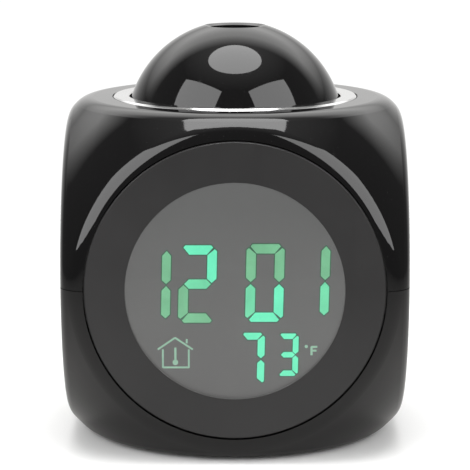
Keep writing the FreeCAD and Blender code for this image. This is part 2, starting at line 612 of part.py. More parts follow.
led = turned([(0, 61.4), (2.9, 61.4), (2.9, 62.4), (2.5, 62.4), (2.5, 67.0), (0, 69.5)], {4: 67.0})
node("projector_led", led)
cond_r = (6.3 ** 2 + 3.0 ** 2) / (2 * 3.0)
cond = turned([(0, 70.5), (6.35, 70.5), (6.35, 71.0), (0, 73.2)], {})
rz = lambda zc, rad, r: zc + math.sqrt(rad * rad - r * r)
rad_c = (6.35 ** 2 + 2.4 ** 2) / (2 * 2.4)
cond = turned([(0, 70.5), (6.35, 70.5), (6.35, 71.1), (0, 73.5)], {2: 73.5 - rad_c})
node("condenser_lens", cond)
node("projection_slide", box(-4.4, 4.4, -4.4, 4.4, 75.3, 76.5))
node("slide_flex", fuse(box(-1.5, 1.5, -7.8, -4.41, 75.85, 76.0), box(-1.5, 1.5, -7.8, -7.65, 61.4, 76.0)))
node("slide_holder", group(tube(6.35, 5.2, 73.6, 75.25), cut(tube(6.35, 5.2, 76.55, 86.4), box(-3, 3, -8, -4.6, 76, 76.6))))
rad_p = (6.3 ** 2 + 1.2 ** 2) / (2 * 1.2)
lens_lo, lens_hi = 86.45, 90.05
plens = turned([(0, lens_lo), (6.3, lens_lo + 1.2), (6.3, lens_hi - 1.2), (0, lens_hi)], {0: lens_lo + rad_p, 2: lens_hi - rad_p})
node("projection_lens", plens)
node("lens_ring", tube(6.35, 5.0, 90.1, 91.4))
coil_heights = [min(10.05, 0.2 * k if k < 2 else 0.4 + (k - 2) * 0.95) for k in range(13)]
dome_coil = coil("Coil", [9.55] * 13, [h * 10.05 / coil_heights[-1] for h in coil_heights], 0.4)
node("dome_spring", place(dome_coil, 0, 0, 63.4))
sw = box(-3, 3, 17.2, 23.2, 61.4, 64.9)
node("dome_switch", cut(sw, cyl(1.85, 63.2, 66, 0, 20.2)))
node("dome_switch_plunger", cyl(1.75, 63.6, 66.1, 0, 20.2))

# ---------------------------------------------------------------- underside: cells, door, buttons, feet
for name, k, plus_rear in (("battery_cell_left", -1, True), ("battery_cell_middle", 0, False), ("battery_cell_right", 1, True)):
    cell = turned([(0, 1), ("cell_radius - 0.3", 1), ("cell_radius", 1.3), ("cell_radius", "cell_long - 0.3"), ("cell_radius - 0.3", "cell_long"),
                   (1.9, "cell_long"), (1.9, "cell_long + 1"), (0, "cell_long + 1")])
    if plus_rear:
        node(name, place(cell, "%d*cell_pitch" % k, -23.3, "cell_z", REAR))
    else:
        node(name, place(cell, "%d*cell_pitch" % k, 21.2, "cell_z", FRONT))
plates = [box("-cell_pitch - 4", "-cell_pitch + 4", 23.9, 24.35, 3.6, 12.6), box(-4, "cell_pitch + 4", 23.9, 24.35, 3.6, 12.6),
          box("-cell_pitch - 4", 4, -26.55, -26.1, 3.6, 12.6), box("cell_pitch - 4", "cell_pitch + 4", -26.55, -26.1, 3.6, 12.6)]
dimples = [cyl(1.9, 22.25, 24.0, "-cell_pitch", "cell_z", "y"), cyl(1.9, 22.25, 24.0, "cell_pitch", "cell_z", "y"), cyl(1.9, -26.2, -24.35, 0, "cell_z", "y")]
node("battery_contacts", group(fuse(plates[0], dimples[0]), fuse(plates[1], dimples[1]), fuse(plates[2], dimples[2]), plates[3]))
springs = []
for x, y, front in (("-cell_pitch", -25.75, True), ("cell_pitch", -25.75, True), (0, 23.55, False)):
    tall = 3.0 if front else 2.9
    cs = coil("Coil", [3.6, 3.5, 3.3, 3.0, 2.7, 2.4, 2.1], [0, 0.05, tall * 0.24, tall * 0.46, tall * 0.68, tall * 0.9, tall], 0.3)
    springs.append(place(group(cs), x, y, "cell_z", REAR if front else FRONT))
node("battery_springs", group(*springs))

door_plate = box("-box_half - 0.9", "box_half + 0.9", -27.5, 25.3, "foot_proud", "foot_proud + door_thick")
skirts = [box("%d*(box_half - 0.75) - 0.6" % s, "%d*(box_half - 0.75) + 0.6" % s, -18, 16, "foot_proud + door_thick - 0.2", 3.9) for s in (1, -1)]
door_tools = [box(-6.6, -6.0, 16.5, 26, -1, 4), box(6.0, 6.6, 16.5, 26, -1, 4)]
door_tools += [box(-5, 5, 18.2 + 1.6 * k, 18.9 + 1.6 * k, -1, "foot_proud + 0.5") for k in range(4)]
door_nub = box(-5.4, 5.4, 23.4, 24.2, "foot_proud + door_thick - 0.2", 3.2)
node("battery_door", cut(fuse(door_plate, door_nub, *skirts), *door_tools))

names = [("alarm_button", 1, 1), ("set_button", -1, 1), ("down_button", -1, -1), ("up_button", 1, -1)]
for name, sx, sy in names:
    cap = turned([(0, "foot_proud + 0.4"), ("button_radius - 0.4", "foot_proud + 0.4"), ("button_radius", "foot_proud + 0.8"), ("button_radius", "foot_proud + 2.05"),
                  (4.5, "foot_proud + 2.05"), (4.5, "foot_proud + 2.9"), (1.4, "foot_proud + 2.9"), (1.4, 4.6), (0, 4.6)])
    node(name, place(cap, "%d*button_x" % sx, "%d*button_y" % sy, 0))
for name, sx, sy in names:
    node(name.replace("_button", "_switch_plunger"), cyl(1.75, 4.65, 6.9, "%d*button_x" % sx, "%d*button_y" % sy))
node("key_switches", group(*[cut(box(sx * 24.5 - 3, sx * 24.5 + 3, sy * 8.5 - 3, sy * 8.5 + 3, 5.6, 9.0), cyl(1.85, 5, 7.6, sx * 24.5, sy * 8.5)) for sx, sy in SIGNS]))
node("key_boards", group(*[cut(box(24.5 * s - 5.2, 24.5 * s + 5.2, -15.8, 15.8, 9.0, 10.2), cyl(1.0, 8, 12, 24.5 * s, 0)) for s in (1, -1)]))
board_screws.append(screw_set(small_screw, [(s * 24.5, 0, 10.2) for s in (1, -1)], Rot(V(0, 0, 1), 0)))
node("board_screws", group(*board_screws))

foot = turned([(0, 1), (2.75, 1), (3.0, 1.25), (3.0, 1.98), (0, 1.98)])
place(foot, 0, 0, -1)
node("rubber_feet", screw_set(foot, [("%d*boss_x" % sx, "%d*boss_y" % sy, 0) for sx, sy in SIGNS], Rot(V(0, 0, 1), 0)))
long_screw = screw(2.2, 1.8, 1.15, 20.0)
node("casing_screws", screw_set(long_screw, [("%d*boss_x" % sx, "%d*boss_y" % sy, 28) for sx, sy in SIGNS], Rot(V(1, 0, 0), 180)))


# ---------------------------------------------------------------- internal leads
def lead(points, r=0.45):
    """A lead as straight runs of round wire joined by tangent bends."""
    pts = [V(*p) for p in points]
    pieces, last, total = [], pts[0], 0.0
    for i in range(1, len(pts) - 1):
        a, b, c = pts[i - 1], pts[i], pts[i + 1]
        u, w = (a - b).normalize(), (c - b).normalize()
        half = math.acos(max(-1, min(1, u.dot(w)))) / 2
        short = min((a - b).Length, (c - b).Length) * 0.45
        rad = short * math.tan(half)
        p1, p2 = b + u * short, b + w * short
        centre = b + (u + w).normalize() * (rad / math.sin(half))
        run = p1 - last
        if run.Length > 1e-4:
            pieces.append(Part.makeCylinder(r, run.Length, last, run))
            total += run.Length
        turn = math.pi - 2 * half
        pieces.append(bend(p1, -u, centre, (-u).cross(w).normalize(), math.degrees(turn), r))
        total += rad * turn
        last = p2
    run = pts[-1] - last
    pieces.append(Part.makeCylinder(r, run.Length, last, run))
    total += run.Length
    s = joined(pieces)
    print("lead %.1f mm, volume %.3f of %.3f" % (total, s.Volume, math.pi * r * r * total))
    return s


def leads(label, routes, r=0.45):
    o = doc.addObject("Part::Feature", uid("Leads"))
    o.Shape = Part.makeCompound([lead(p, r) for p in routes])
    o.Placement = FreeCAD.Placement(V(0, 0, 0), Rot())
    return node(label, o)


leads("power_leads", [
    [(-13.5, 23.2, 13.2), (-13.5, 23.2, 19), (-13, 8, 20), (-12, -12, 20), (-12, -22, 24), (-12, -29.82, 25)],
    [(13.5, -25.4, 13.2), (13.5, -25.4, 17.2), (9.0, -25.6, 20.5), (9, -29.82, 21)],
    [(-12.1, 26.4, 18.1), (-12.1, 26.0, 22), (-8, 14, 23), (-7, -8, 24), (-8, -20, 27), (-8, -29.82, 28)],
    [(-8.3, 26.4, 18.1), (-8.3, 26.0, 21), (-5, 14, 21.8), (-4, -8, 22.6), (-5, -20, 27), (-5, -29.82, 29)]])
leads("signal_leads", [
    [(6.0, 33.2, 31.0), (6.0, 28, 30), (8, 15, 25), (12, -5, 26), (11, -20, 30), (11, -29.82, 31)],
    [(8.0, 33.2, 32.6), (8.0, 28, 31.5), (10, 15, 26.5), (14, -5, 27.5), (13, -20, 31), (13, -29.82, 32)],
    [(20.6, -13.0, 10.25), (20.0, -13.5, 14), (17.0, -19, 18.8), (16.8, -24, 19.4), (16.5, -29.82, 19.6)],
    [(-20.6, -13.0, 10.25), (-20.0, -13.5, 14), (-17.0, -19, 18.8), (-16.8, -24, 19.4), (-16.5, -29.82, 19.6)]]
    + [[(x, -20.0, 58.0), (x, -20.0, 55.9), (x, -23.5, 54), (x, -29.82, 53.7)] for x in (-3.0, -1.0, 1.0, 3.0)])

# ---------------------------------------------------------------- check and write
doc.recompute()
for o in doc.Objects:
    if "Invalid" in o.State or "Error" in o.State:
        raise RuntimeError("failed object: %s %s %s" % (o.Name, o.Label, o.State))
os.makedirs("parts", exist_ok=True)
for f in os.listdir("parts"):
    if f.endswith(".step"):
        os.remove(os.path.join("parts", f))
labels = [o.Label for o in NODES]
print(len(labels), "nodes", len(set(labels)))
for o in NODES:
    if o.Shape.isNull() or not o.Shape.isValid() or not o.Shape.Solids:
        raise RuntimeError("bad shape: " + o.Label)
for o in NODES:
    o.Shape.exportStep("parts/%s.step" % o.Label)
    b = o.Shape.BoundBox
    print("%-26s %2d solids %10.2f mm3  x %.1f..%.1f  y %.1f..%.1f  z %.1f..%.1f" % (
        o.Label, len(o.Shape.Solids), o.Shape.Volume, b.XMin, b.XMax, b.YMin, b.YMax, b.ZMin, b.ZMax))
print(len(NODES), "nodes")
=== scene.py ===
import json
import math

import bmesh
import bpy
from mathutils import Matrix, Vector


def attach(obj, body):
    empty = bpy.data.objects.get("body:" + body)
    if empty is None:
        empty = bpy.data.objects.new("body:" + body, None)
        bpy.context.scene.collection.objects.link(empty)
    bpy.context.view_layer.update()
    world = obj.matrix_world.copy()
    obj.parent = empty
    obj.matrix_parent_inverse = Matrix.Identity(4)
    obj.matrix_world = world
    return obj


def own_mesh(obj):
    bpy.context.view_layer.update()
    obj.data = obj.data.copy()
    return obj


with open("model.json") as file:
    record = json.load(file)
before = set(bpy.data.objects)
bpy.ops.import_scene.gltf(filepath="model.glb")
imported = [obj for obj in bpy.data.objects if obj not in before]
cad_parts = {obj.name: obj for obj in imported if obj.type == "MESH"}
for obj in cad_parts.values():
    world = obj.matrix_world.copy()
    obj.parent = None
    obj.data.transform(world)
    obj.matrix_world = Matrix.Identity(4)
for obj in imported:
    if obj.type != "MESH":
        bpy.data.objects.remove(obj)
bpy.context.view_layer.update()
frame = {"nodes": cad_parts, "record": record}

MM = 0.001
NODES = frame["nodes"]

# ------------------------------------------------------------------ camera: the front view of the photograph
# The photograph is taken from 588 mm away, 10.6 degrees above the horizon.
DIST, ELEV = 0.588, math.radians(10.6)
cam_data = bpy.data.cameras.new("camera")
cam = bpy.data.objects.new("camera", cam_data)
bpy.context.scene.collection.objects.link(cam)
eye = Vector((0.0, -DIST * math.cos(ELEV), 0.0405 + DIST * math.sin(ELEV)))
aim = Vector((0.0, 0.0, 0.0465))
cam.location = eye
cam.rotation_euler = (aim - eye).to_track_quat("-Z", "Y").to_euler()
cam_data.sensor_width = 36.0
cam_data.lens = 4.12 * 588.0 / 470.0 * 36.0
cam_data.clip_start, cam_data.clip_end = 0.01, 20.0
bpy.context.scene.camera = cam
bpy.context.scene.view_settings.view_transform = "Standard"


# ------------------------------------------------------------------ small node helpers
def new_mat(name):
    m = bpy.data.materials.new(name)
    m.use_nodes = True
    nt = m.node_tree
    bsdf = next(n for n in nt.nodes if n.type == "BSDF_PRINCIPLED")
    return m, nt, bsdf


def add(nt, kind, **values):
    n = nt.nodes.new(kind)
    for k, v in values.items():
        if k in n.inputs.keys():
            n.inputs[k].default_value = v
        else:
            setattr(n, k, v)
    return n


def coords(nt, scale=(1, 1, 1)):
    tc = add(nt, "ShaderNodeTexCoord")
    mp = add(nt, "ShaderNodeMapping")
    mp.inputs["Scale"].default_value = scale
    nt.links.new(tc.outputs["Object"], mp.inputs["Vector"])
    return mp.outputs["Vector"]


def noise(nt, vec, scale, detail=4.0, rough=0.5, distort=0.0):
    n = add(nt, "ShaderNodeTexNoise")
    n.inputs["Scale"].default_value = scale
    n.inputs["Detail"].default_value = detail
    n.inputs["Roughness"].default_value = rough
    n.inputs["Distortion"].default_value = distort
    nt.links.new(vec, n.inputs["Vector"])
    return n.outputs["Fac"]


def remap(nt, fac, lo, hi, a=0.3, b=0.7):
    r = add(nt, "ShaderNodeMapRange")
    r.inputs["From Min"].default_value = a
    r.inputs["From Max"].default_value = b
    r.inputs["To Min"].default_value = lo
    r.inputs["To Max"].default_value = hi
    nt.links.new(fac, r.inputs["Value"])
    return r.outputs["Result"]


def ramp(nt, fac, stops):
    r = add(nt, "ShaderNodeValToRGB")
    el = r.color_ramp.elements
    while len(el) < len(stops):
        el.new(0.5)
    for e, (p, c) in zip(el, stops):
        e.position = p
        e.color = (c[0], c[1], c[2], 1.0)
    nt.links.new(fac, r.inputs["Fac"])
    return r.outputs["Color"]


def maths(nt, op, a, b=None):
    n = add(nt, "ShaderNodeMath", operation=op)
    for i, x in enumerate((a, b)):
        if x is None:
            continue
        if isinstance(x, (int, float)):
            n.inputs[i].default_value = x
        else:
            nt.links.new(x, n.inputs[i])
    return n.outputs[0]


def bump(nt, bsdf, height, strength, distance):
    b = add(nt, "ShaderNodeBump")
    b.inputs["Strength"].default_value = strength
    b.inputs["Distance"].default_value = distance
    nt.links.new(height, b.inputs["Height"])
    nt.links.new(b.outputs["Normal"], bsdf.inputs["Normal"])
    return b


def scratches(nt, vec, scale, stretch):
    """Fine hairlines: a strongly stretched noise, thresholded to thin streaks."""
    mp = add(nt, "ShaderNodeMapping")
    mp.inputs["Rotation"].default_value = (0.3, 0.5, 0.7)
    mp.inputs["Scale"].default_value = (1.0, stretch, stretch)
    nt.links.new(vec, mp.inputs["Vector"])
    f = noise(nt, mp.outputs["Vector"], scale, 2.0, 0.6)
    return remap(nt, f, 0.0, 1.0, 0.66, 0.76)


def gloss_black(name, base, rough_lo, rough_hi, dust=0.02):
    """Polished black moulded plastic: mirror-smooth, with faint moulding ripple, hairlines and a trace of dust."""
    m, nt, b = new_mat(name)
    v = coords(nt)
    big = noise(nt, v, 28.0, 3.0, 0.5)
    fine = noise(nt, v, 900.0, 3.0, 0.6)
    hair = scratches(nt, v, 240.0, 0.06)
    tone = ramp(nt, big, [(0.3, [c * 0.85 for c in base]), (0.7, [c * 1.15 for c in base])])
    speck = remap(nt, noise(nt, v, 2600.0, 1.0, 0.5), 0.0, dust, 0.72, 0.82)
    mix = add(nt, "ShaderNodeMix", data_type="RGBA", blend_type="ADD")
    mix.inputs["Factor"].default_value = 1.0
    nt.links.new(tone, mix.inputs["A"])
    grey = add(nt, "ShaderNodeCombineColor")
    for k in ("Red", "Green", "Blue"):
        nt.links.new(speck, grey.inputs[k])
    nt.links.new(grey.outputs["Color"], mix.inputs["B"])
    nt.links.new(mix.outputs["Result"], b.inputs["Base Color"])
    r1 = remap(nt, big, rough_lo, rough_hi, 0.35, 0.65)
    r2 = maths(nt, "MULTIPLY", hair, 0.10)
    r3 = maths(nt, "ADD", r1, r2)
    r4 = maths(nt, "MULTIPLY", speck, 2.0)
    nt.links.new(maths(nt, "ADD", r3, r4), b.inputs["Roughness"])
    h = maths(nt, "ADD", maths(nt, "MULTIPLY", noise(nt, v, 55.0, 1.0, 0.4), 1.0), maths(nt, "MULTIPLY", fine, 0.004))
    bump(nt, b, h, 0.35, 0.00012)
    b.inputs["IOR"].default_value = 1.52
    return m


def fine_matte(name, base, rough, grain_scale, grain_depth, ior=1.5, spread=0.12):
    """Spark-eroded or satin moulded plastic: an even fine grain with slight shine differences."""
    m, nt, b = new_mat(name)
    v = coords(nt)
    big = noise(nt, v, 40.0, 4.0, 0.55)
    g = noise(nt, v, grain_scale, 2.0, 0.6)
    nt.links.new(ramp(nt, big, [(0.3, [c * (1 - spread) for c in base]), (0.7, [c * (1 + spread) for c in base])]), b.inputs["Base Color"])
    hair = scratches(nt, v, 200.0, 0.08)
    nt.links.new(maths(nt, "SUBTRACT", maths(nt, "ADD", remap(nt, big, rough - 0.04, rough + 0.04), maths(nt, "MULTIPLY", g, 0.05)), maths(nt, "MULTIPLY", hair, 0.06)), b.inputs["Roughness"])
    bump(nt, b, g, 0.6, grain_depth)
    b.inputs["IOR"].default_value = ior
    return m


def metal(name, base, rough, brushed=0.0, scale=300.0):
    m, nt, b = new_mat(name)
    v = coords(nt, (1.0, 1.0, 1.0))
    big = noise(nt, v, 60.0, 3.0, 0.5)
    fine = noise(nt, v, scale, 3.0, 0.6)
    nt.links.new(ramp(nt, big, [(0.3, [c * 0.94 for c in base]), (0.7, base)]), b.inputs["Base Color"])
    nt.links.new(maths(nt, "ADD", remap(nt, big, rough * 0.8, rough * 1.2), maths(nt, "MULTIPLY", scratches(nt, v, 260.0, 0.07), 0.08)), b.inputs["Roughness"])
    b.inputs["Metallic"].default_value = 1.0
    bump(nt, b, fine, 0.15 + brushed, 0.00001)
    return m


def clear(name, tint, rough=0.02, ior=1.49):
    m, nt, b = new_mat(name)
    v = coords(nt)
    f = noise(nt, v, 150.0, 3.0, 0.5)
    nt.links.new(remap(nt, f, rough * 0.6, rough * 1.5), b.inputs["Roughness"])
    b.inputs["Base Color"].default_value = (tint[0], tint[1], tint[2], 1.0)
    b.inputs["Transmission Weight"].default_value = 1.0
    b.inputs["IOR"].default_value = ior
    bump(nt, b, noise(nt, v, 45.0, 1.0, 0.4), 0.1, 0.00005)
    return m


def glow(name, colour, strength, var=0.12):
    m, nt, b = new_mat(name)
    v = coords(nt)
    f = noise(nt, v, 260.0, 2.0, 0.5)
    c1, c2 = [x * (1 - var) for x in colour], [min(1.0, x * (1 + var)) for x in colour]
    col = ramp(nt, f, [(0.3, c1), (0.7, c2)])
    nt.links.new(col, b.inputs["Emission Color"])
    b.inputs["Base Color"].default_value = (colour[0] * 0.06, colour[1] * 0.06, colour[2] * 0.06, 1.0)
    b.inputs["Emission Strength"].default_value = strength
    b.inputs["Roughness"].default_value = 0.5
    return m


MAT = {}
MAT["gloss_shell"] = gloss_black("gloss_shell", (0.0036, 0.0034, 0.0036), 0.03, 0.055)
MAT["bezel_black"] = fine_matte("bezel_black", (0.0275, 0.0268, 0.0271), 0.34, 5200.0, 0.000006)
MAT["rear_black"] = fine_matte("rear_black", (0.027, 0.0262, 0.0265), 0.46, 3600.0, 0.00001)
MAT["window_clear"] = clear("window_clear", (0.93, 0.94, 0.94), 0.03)
MAT["trim_chrome"] = metal("trim_chrome", (0.88, 0.88, 0.88), 0.13)
MAT["guide_clear"] = clear("guide_clear", (0.9, 0.95, 0.93), 0.12)
MAT["inner_plastic"] = fine_matte("inner_plastic", (0.03, 0.03, 0.032), 0.5, 3000.0, 0.00001)
MAT["strip_rubber"] = fine_matte("strip_rubber", (0.022, 0.022, 0.022), 0.75, 2600.0, 0.00002)
MAT["led_white"] = fine_matte("led_white", (0.8, 0.8, 0.74), 0.35, 2000.0, 0.000005)
MAT["bright_steel"] = metal("bright_steel", (0.62, 0.61, 0.59), 0.28, 0.1)
MAT["contact_nickel"] = metal("contact_nickel", (0.78, 0.76, 0.72), 0.2, 0.05)
MAT["magnet_steel"] = metal("magnet_steel", (0.5, 0.5, 0.5), 0.35, 0.1)
MAT["cone_paper"] = fine_matte("cone_paper", (0.02, 0.02, 0.021), 0.85, 2400.0, 0.00003)
MAT["can_sleeve"] = fine_matte("can_sleeve", (0.02, 0.03, 0.08), 0.3, 2000.0, 0.000004)
MAT["sensor_black"] = fine_matte("sensor_black", (0.015, 0.015, 0.015), 0.3, 2000.0, 0.000004)
MAT["led_red"] = clear("led_red", (0.75, 0.03, 0.02), 0.05)
MAT["lens_clear"] = clear("lens_clear", (0.95, 0.96, 0.97), 0.01)
MAT["flex_amber"] = fine_matte("flex_amber", (0.5, 0.24, 0.03), 0.35, 2000.0, 0.000004)
MAT["plunger_plastic"] = fine_matte("plunger_plastic", (0.55, 0.55, 0.52), 0.45, 2000.0, 0.000006)
MAT["button_black"] = fine_matte("button_black", (0.02, 0.02, 0.0205), 0.38, 3000.0, 0.000008)


def board_mat():
    """Solder mask over copper: green with slightly lighter tracks."""
    m, nt, b = new_mat("board_green")
    v = coords(nt)
    br = add(nt, "ShaderNodeTexBrick")
    br.inputs["Scale"].default_value = 160.0
    br.inputs["Mortar Size"].default_value = 0.03
    br.inputs["Color1"].default_value = (0.008, 0.085, 0.03, 1)
    br.inputs["Color2"].default_value = (0.012, 0.12, 0.04, 1)
    br.inputs["Mortar"].default_value = (0.004, 0.05, 0.018, 1)
    nt.links.new(v, br.inputs["Vector"])
    nt.links.new(br.outputs["Color"], b.inputs["Base Color"])
    nt.links.new(remap(nt, noise(nt, v, 120.0), 0.22, 0.38), b.inputs["Roughness"])
    bump(nt, b, br.outputs["Fac"], 0.3, 0.00003)
    return m


def lead_mat():
    """Red and black sleeves: the leads differ by where they lie."""
    m, nt, b = new_mat("lead_sleeve")
    v = coords(nt)
    f = noise(nt, v, 60.0, 0.0, 0.5)
    nt.links.new(ramp(nt, f, [(0.49, (0.3, 0.012, 0.01)), (0.51, (0.012, 0.012, 0.013))]), b.inputs["Base Color"])
    nt.links.new(remap(nt, noise(nt, v, 500.0), 0.25, 0.4), b.inputs["Roughness"])
    return m


def cell_mat():
    """Plain wrapped cell: dark body with a coppery band towards one end and bright ends."""
    m, nt, b = new_mat("cell_wrap")
    tc = add(nt, "ShaderNodeTexCoord")
    sep = add(nt, "ShaderNodeSeparateXYZ")
    nt.links.new(tc.outputs["Object"], sep.inputs[0])
    y = sep.outputs["Y"]
    band = maths(nt, "GREATER_THAN", maths(nt, "ABSOLUTE", maths(nt, "ADD", y, 0.0005)), 0.0135)
    v = coords(nt)
    mix = add(nt, "ShaderNodeMix", data_type="RGBA")
    nt.links.new(band, mix.inputs["Factor"])
    mix.inputs["A"].default_value = (0.018, 0.025, 0.05, 1)
    mix.inputs["B"].default_value = (0.45, 0.2, 0.08, 1)
    nt.links.new(mix.outputs["Result"], b.inputs["Base Color"])
    nt.links.new(remap(nt, noise(nt, v, 90.0), 0.22, 0.34), b.inputs["Roughness"])
    b.inputs["Metallic"].default_value = 0.55
    return m


def lcd_mat():
    """Grey display glass, lit evenly from behind; its glow is made a little darker towards the lower rim, which is
    painted shade.
    """
    m, nt, b = new_mat("lcd_grey")
    tc = add(nt, "ShaderNodeTexCoord")
    sep = add(nt, "ShaderNodeSeparateXYZ")
    nt.links.new(tc.outputs["Object"], sep.inputs[0])
    # painted shade: the glow rises with height, so the glass is darker towards its lower rim
    z = remap(nt, sep.outputs["Z"], 0.0, 1.0, 0.014, 0.067)
    v = coords(nt)
    f = maths(nt, "ADD", z, maths(nt, "MULTIPLY", maths(nt, "SUBTRACT", noise(nt, v, 30.0, 2.0), 0.5), 0.5))
    col = ramp(nt, f, [(0.0, (0.098, 0.096, 0.095)), (0.35, (0.120, 0.119, 0.117)), (1.0, (0.135, 0.135, 0.133))])
    nt.links.new(col, b.inputs["Emission Color"])
    b.inputs["Emission Strength"].default_value = 1.0
    b.inputs["Base Color"].default_value = (0.02, 0.02, 0.02, 1)
    nt.links.new(remap(nt, noise(nt, v, 400.0), 0.3, 0.45), b.inputs["Roughness"])
    return m


MAT["board_green"] = board_mat()
MAT["lead_sleeve"] = lead_mat()
MAT["cell_wrap"] = cell_mat()
MAT["lcd_grey"] = lcd_mat()

SLOT_OF = {p["node"]: p.get("material_slot", p["node"]) for p in frame["record"]["subparts"]}


def paint(obj, mat):
    obj.data.materials.clear()
    obj.data.materials.append(mat)


for name, obj in NODES.items():
    paint(obj, MAT[SLOT_OF[name]])
    me = obj.data
    me.polygons.foreach_set("use_smooth", [True] * len(me.polygons))
    me.set_sharp_from_angle(angle=math.radians(24))


# The wall of the display opening gets the display's glowing grey: painted light standing in for the backlight's spill
# and the light coming through the window.
wall = NODES["front_bezel"].data
wall.materials.append(MAT["lcd_grey"])
for face in wall.polygons:
    c, n = face.center, face.normal
    r = math.hypot(c.x, c.z - 0.0405)
    if r < 0.0252 and abs(n.y) < 0.2 and c.y < -0.0370:
        face.material_index = 1

# The return spring stands on the deck and shortens as the dome is pressed down by 1.5 mm; here it only gets a mesh of
# its own, and nothing makes it shorten.
spring = NODES["dome_spring"]
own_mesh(spring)

# ------------------------------------------------------------------ display: digits and signs
# Read off the photograph's window: centre of the window at px (115.3, 263.9), 2.91 px/mm across, 2.86 px/mm up.
Y_LCD = -37.55


def win(px, py):
    return (px - 115.3) / 2.91 - 0.6, 40.5 + 0.5 - (py - 263.9) / 2.86


def zoomed(zx, zy):
    return win(50 + zx / 10.453, 220 + zy / 10.453)


def plates(name, polys, mat, thick=0.05):
    """Thin raised plates on the display glass, one per outline (x, z in mm, seen from the front)."""
    bm = bmesh.new()
    for poly in polys:
        y0, y1 = (Y_LCD - 0.005) * MM, (Y_LCD - thick) * MM
        front = [bm.verts.new((x * MM, y1, z * MM)) for x, z in poly]
        back = [bm.verts.new((x * MM, y0, z * MM)) for x, z in poly]
        n = len(poly)
        bm.faces.new(front)
        bm.faces.new(list(reversed(back)))
        for i in range(n):
            j = (i + 1) % n
            bm.faces.new([front[i], back[i], back[j], front[j]])
    bmesh.ops.recalc_face_normals(bm, faces=bm.faces)
    me = bpy.data.meshes.new(name)
    bm.to_mesh(me)
    bm.free()
    o = bpy.data.objects.new(name, me)
    bpy.context.scene.collection.objects.link(o)
    me.materials.append(mat)
    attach(o, "casing")
    return o


def digit(x_mid, z_mid, wide, tall, bar, lit, slant=0.022, gap=0.34):
    """Seven-segment digit about (x_mid, z_mid) in mm: {segment: outline} for the letters in lit."""
    hw, hh = wide / 2, tall / 2
    b = bar

    def sk(pts):
        return [(x_mid + x + z * slant, z_mid + z) for x, z in pts]

    e = gap / 2

    def lying(z0, up):
        """Bar along x whose outer side is up (+1) or down (-1), its ends cut back at the corners."""
        return sk([(-hw + b * 0.62, z0), (hw - b * 0.62, z0), (hw - b * 0.34 - e, z0 - up * b * 0.24), (hw - b * 0.98 - e, z0 - up * b), (-hw + b * 0.98 + e, z0 - up * b), (-hw + b * 0.34 + e, z0 - up * b * 0.24)])

    def standing(x0, side, half):
        """Upright bar whose outer side is right (+1) or left (-1), in the upper (+1) or lower (-1) half."""
        return sk([(x0, half * (hh - b * 0.62)), (x0 - side * b * 0.24, half * (hh - b * 0.34 - e)), (x0 - side * b, half * (hh - b * 0.98 - e)), (x0 - side * b, half * (e + b * 0.5)), (x0 - side * b * 0.5, half * (e + b * 0.04)), (x0, half * (e + b * 0.5))])

    out = {"a": lying(hh, 1), "d": lying(-hh, -1), "b": standing(hw, 1, 1), "c": standing(hw, 1, -1), "f": standing(-hw, -1, 1), "e": standing(-hw, -1, -1)}
    out["g"] = sk([(-hw + b * 0.5 + e, 0), (-hw + b * 0.98 + e, b / 2), (hw - b * 0.98 - e, b / 2), (hw - b * 0.5 - e, 0), (hw - b * 0.98 - e, -b / 2), (-hw + b * 0.98 + e, -b / 2)])
    return {k: out[k] for k in lit}


def frame_of(zx0, zx1, zy0, zy1):
    """Middle, width and height in mm of a box given in the enlarged photograph."""
    (xa, za), (xb, zb) = zoomed(zx0, zy0), zoomed(zx1, zy1)
    return (xa + xb) / 2, (za + zb) / 2, xb - xa, za - zb


bright, mid, dim = [], [], []
# two: left edge from LL, right edge from UR
x, z, w, h = frame_of(312, 572, 163, 698)
two = digit(x, z, w, h, 2.15, "abged")
bright += [two["a"], two["b"]]
mid += [two["g"]]
dim += [two["e"], two["d"]]
x, z, w, h = frame_of(776, 1038, 155, 692)
zero = digit(x, z, w, h, 2.15, "abcdef")
dim += [zero["a"], zero["f"], zero["b"]]
mid += [zero["e"]]
bright += [zero["c"], zero["d"]]
# the two ones: pointed uprights
for (x0, x1, top, split, bot), where_top, where_bot in (((191, 258, 203, 437, 668), dim, dim), ((1285, 1360, 170, 409, 646), dim, mid)):
    (xa, zt), (xb, zb) = zoomed(x0, top), zoomed(x1, bot)
    zs = zoomed(x0, split)[1]
    bar = 2.15
    xm = (xa + xb) / 2
    for lo, hi, dest in ((zs + 0.25, zt, where_top), (zb, zs - 0.25, where_bot)):
        def sk(xx, zz):
            return (xm + xx + (zz - zs) * 0.025, zz)
        dest.append([sk(-bar * 0.46, lo + bar * 0.42), sk(0, lo), sk(bar * 0.46, lo + bar * 0.42), sk(bar * 0.46, hi - bar * 0.5), sk(0, hi), sk(-bar * 0.46, hi - bar * 0.5)])
# temperature
x, z, w, h = frame_of(733, 905, 768, 1136)
bright += list(digit(x, z, w, h, 1.62, "abc", gap=0.24).values())
x, z, w, h = frame_of(996, 1140, 773, 1070)
bright += list(digit(x, z, w, h, 1.3, "abcdg", gap=0.22).values())

MAT["seg_bright"] = glow("seg_bright", (0.16, 0.93, 0.56), 1.0, 0.05)
MAT["seg_mid"] = glow("seg_mid", (0.17, 0.74, 0.42), 1.0, 0.08)
MAT["seg_dim"] = glow("seg_dim", (0.19, 0.53, 0.29), 1.0, 0.1)
MAT["seg_pale"] = glow("seg_pale", (0.30, 0.52, 0.38), 1.0, 0.1)


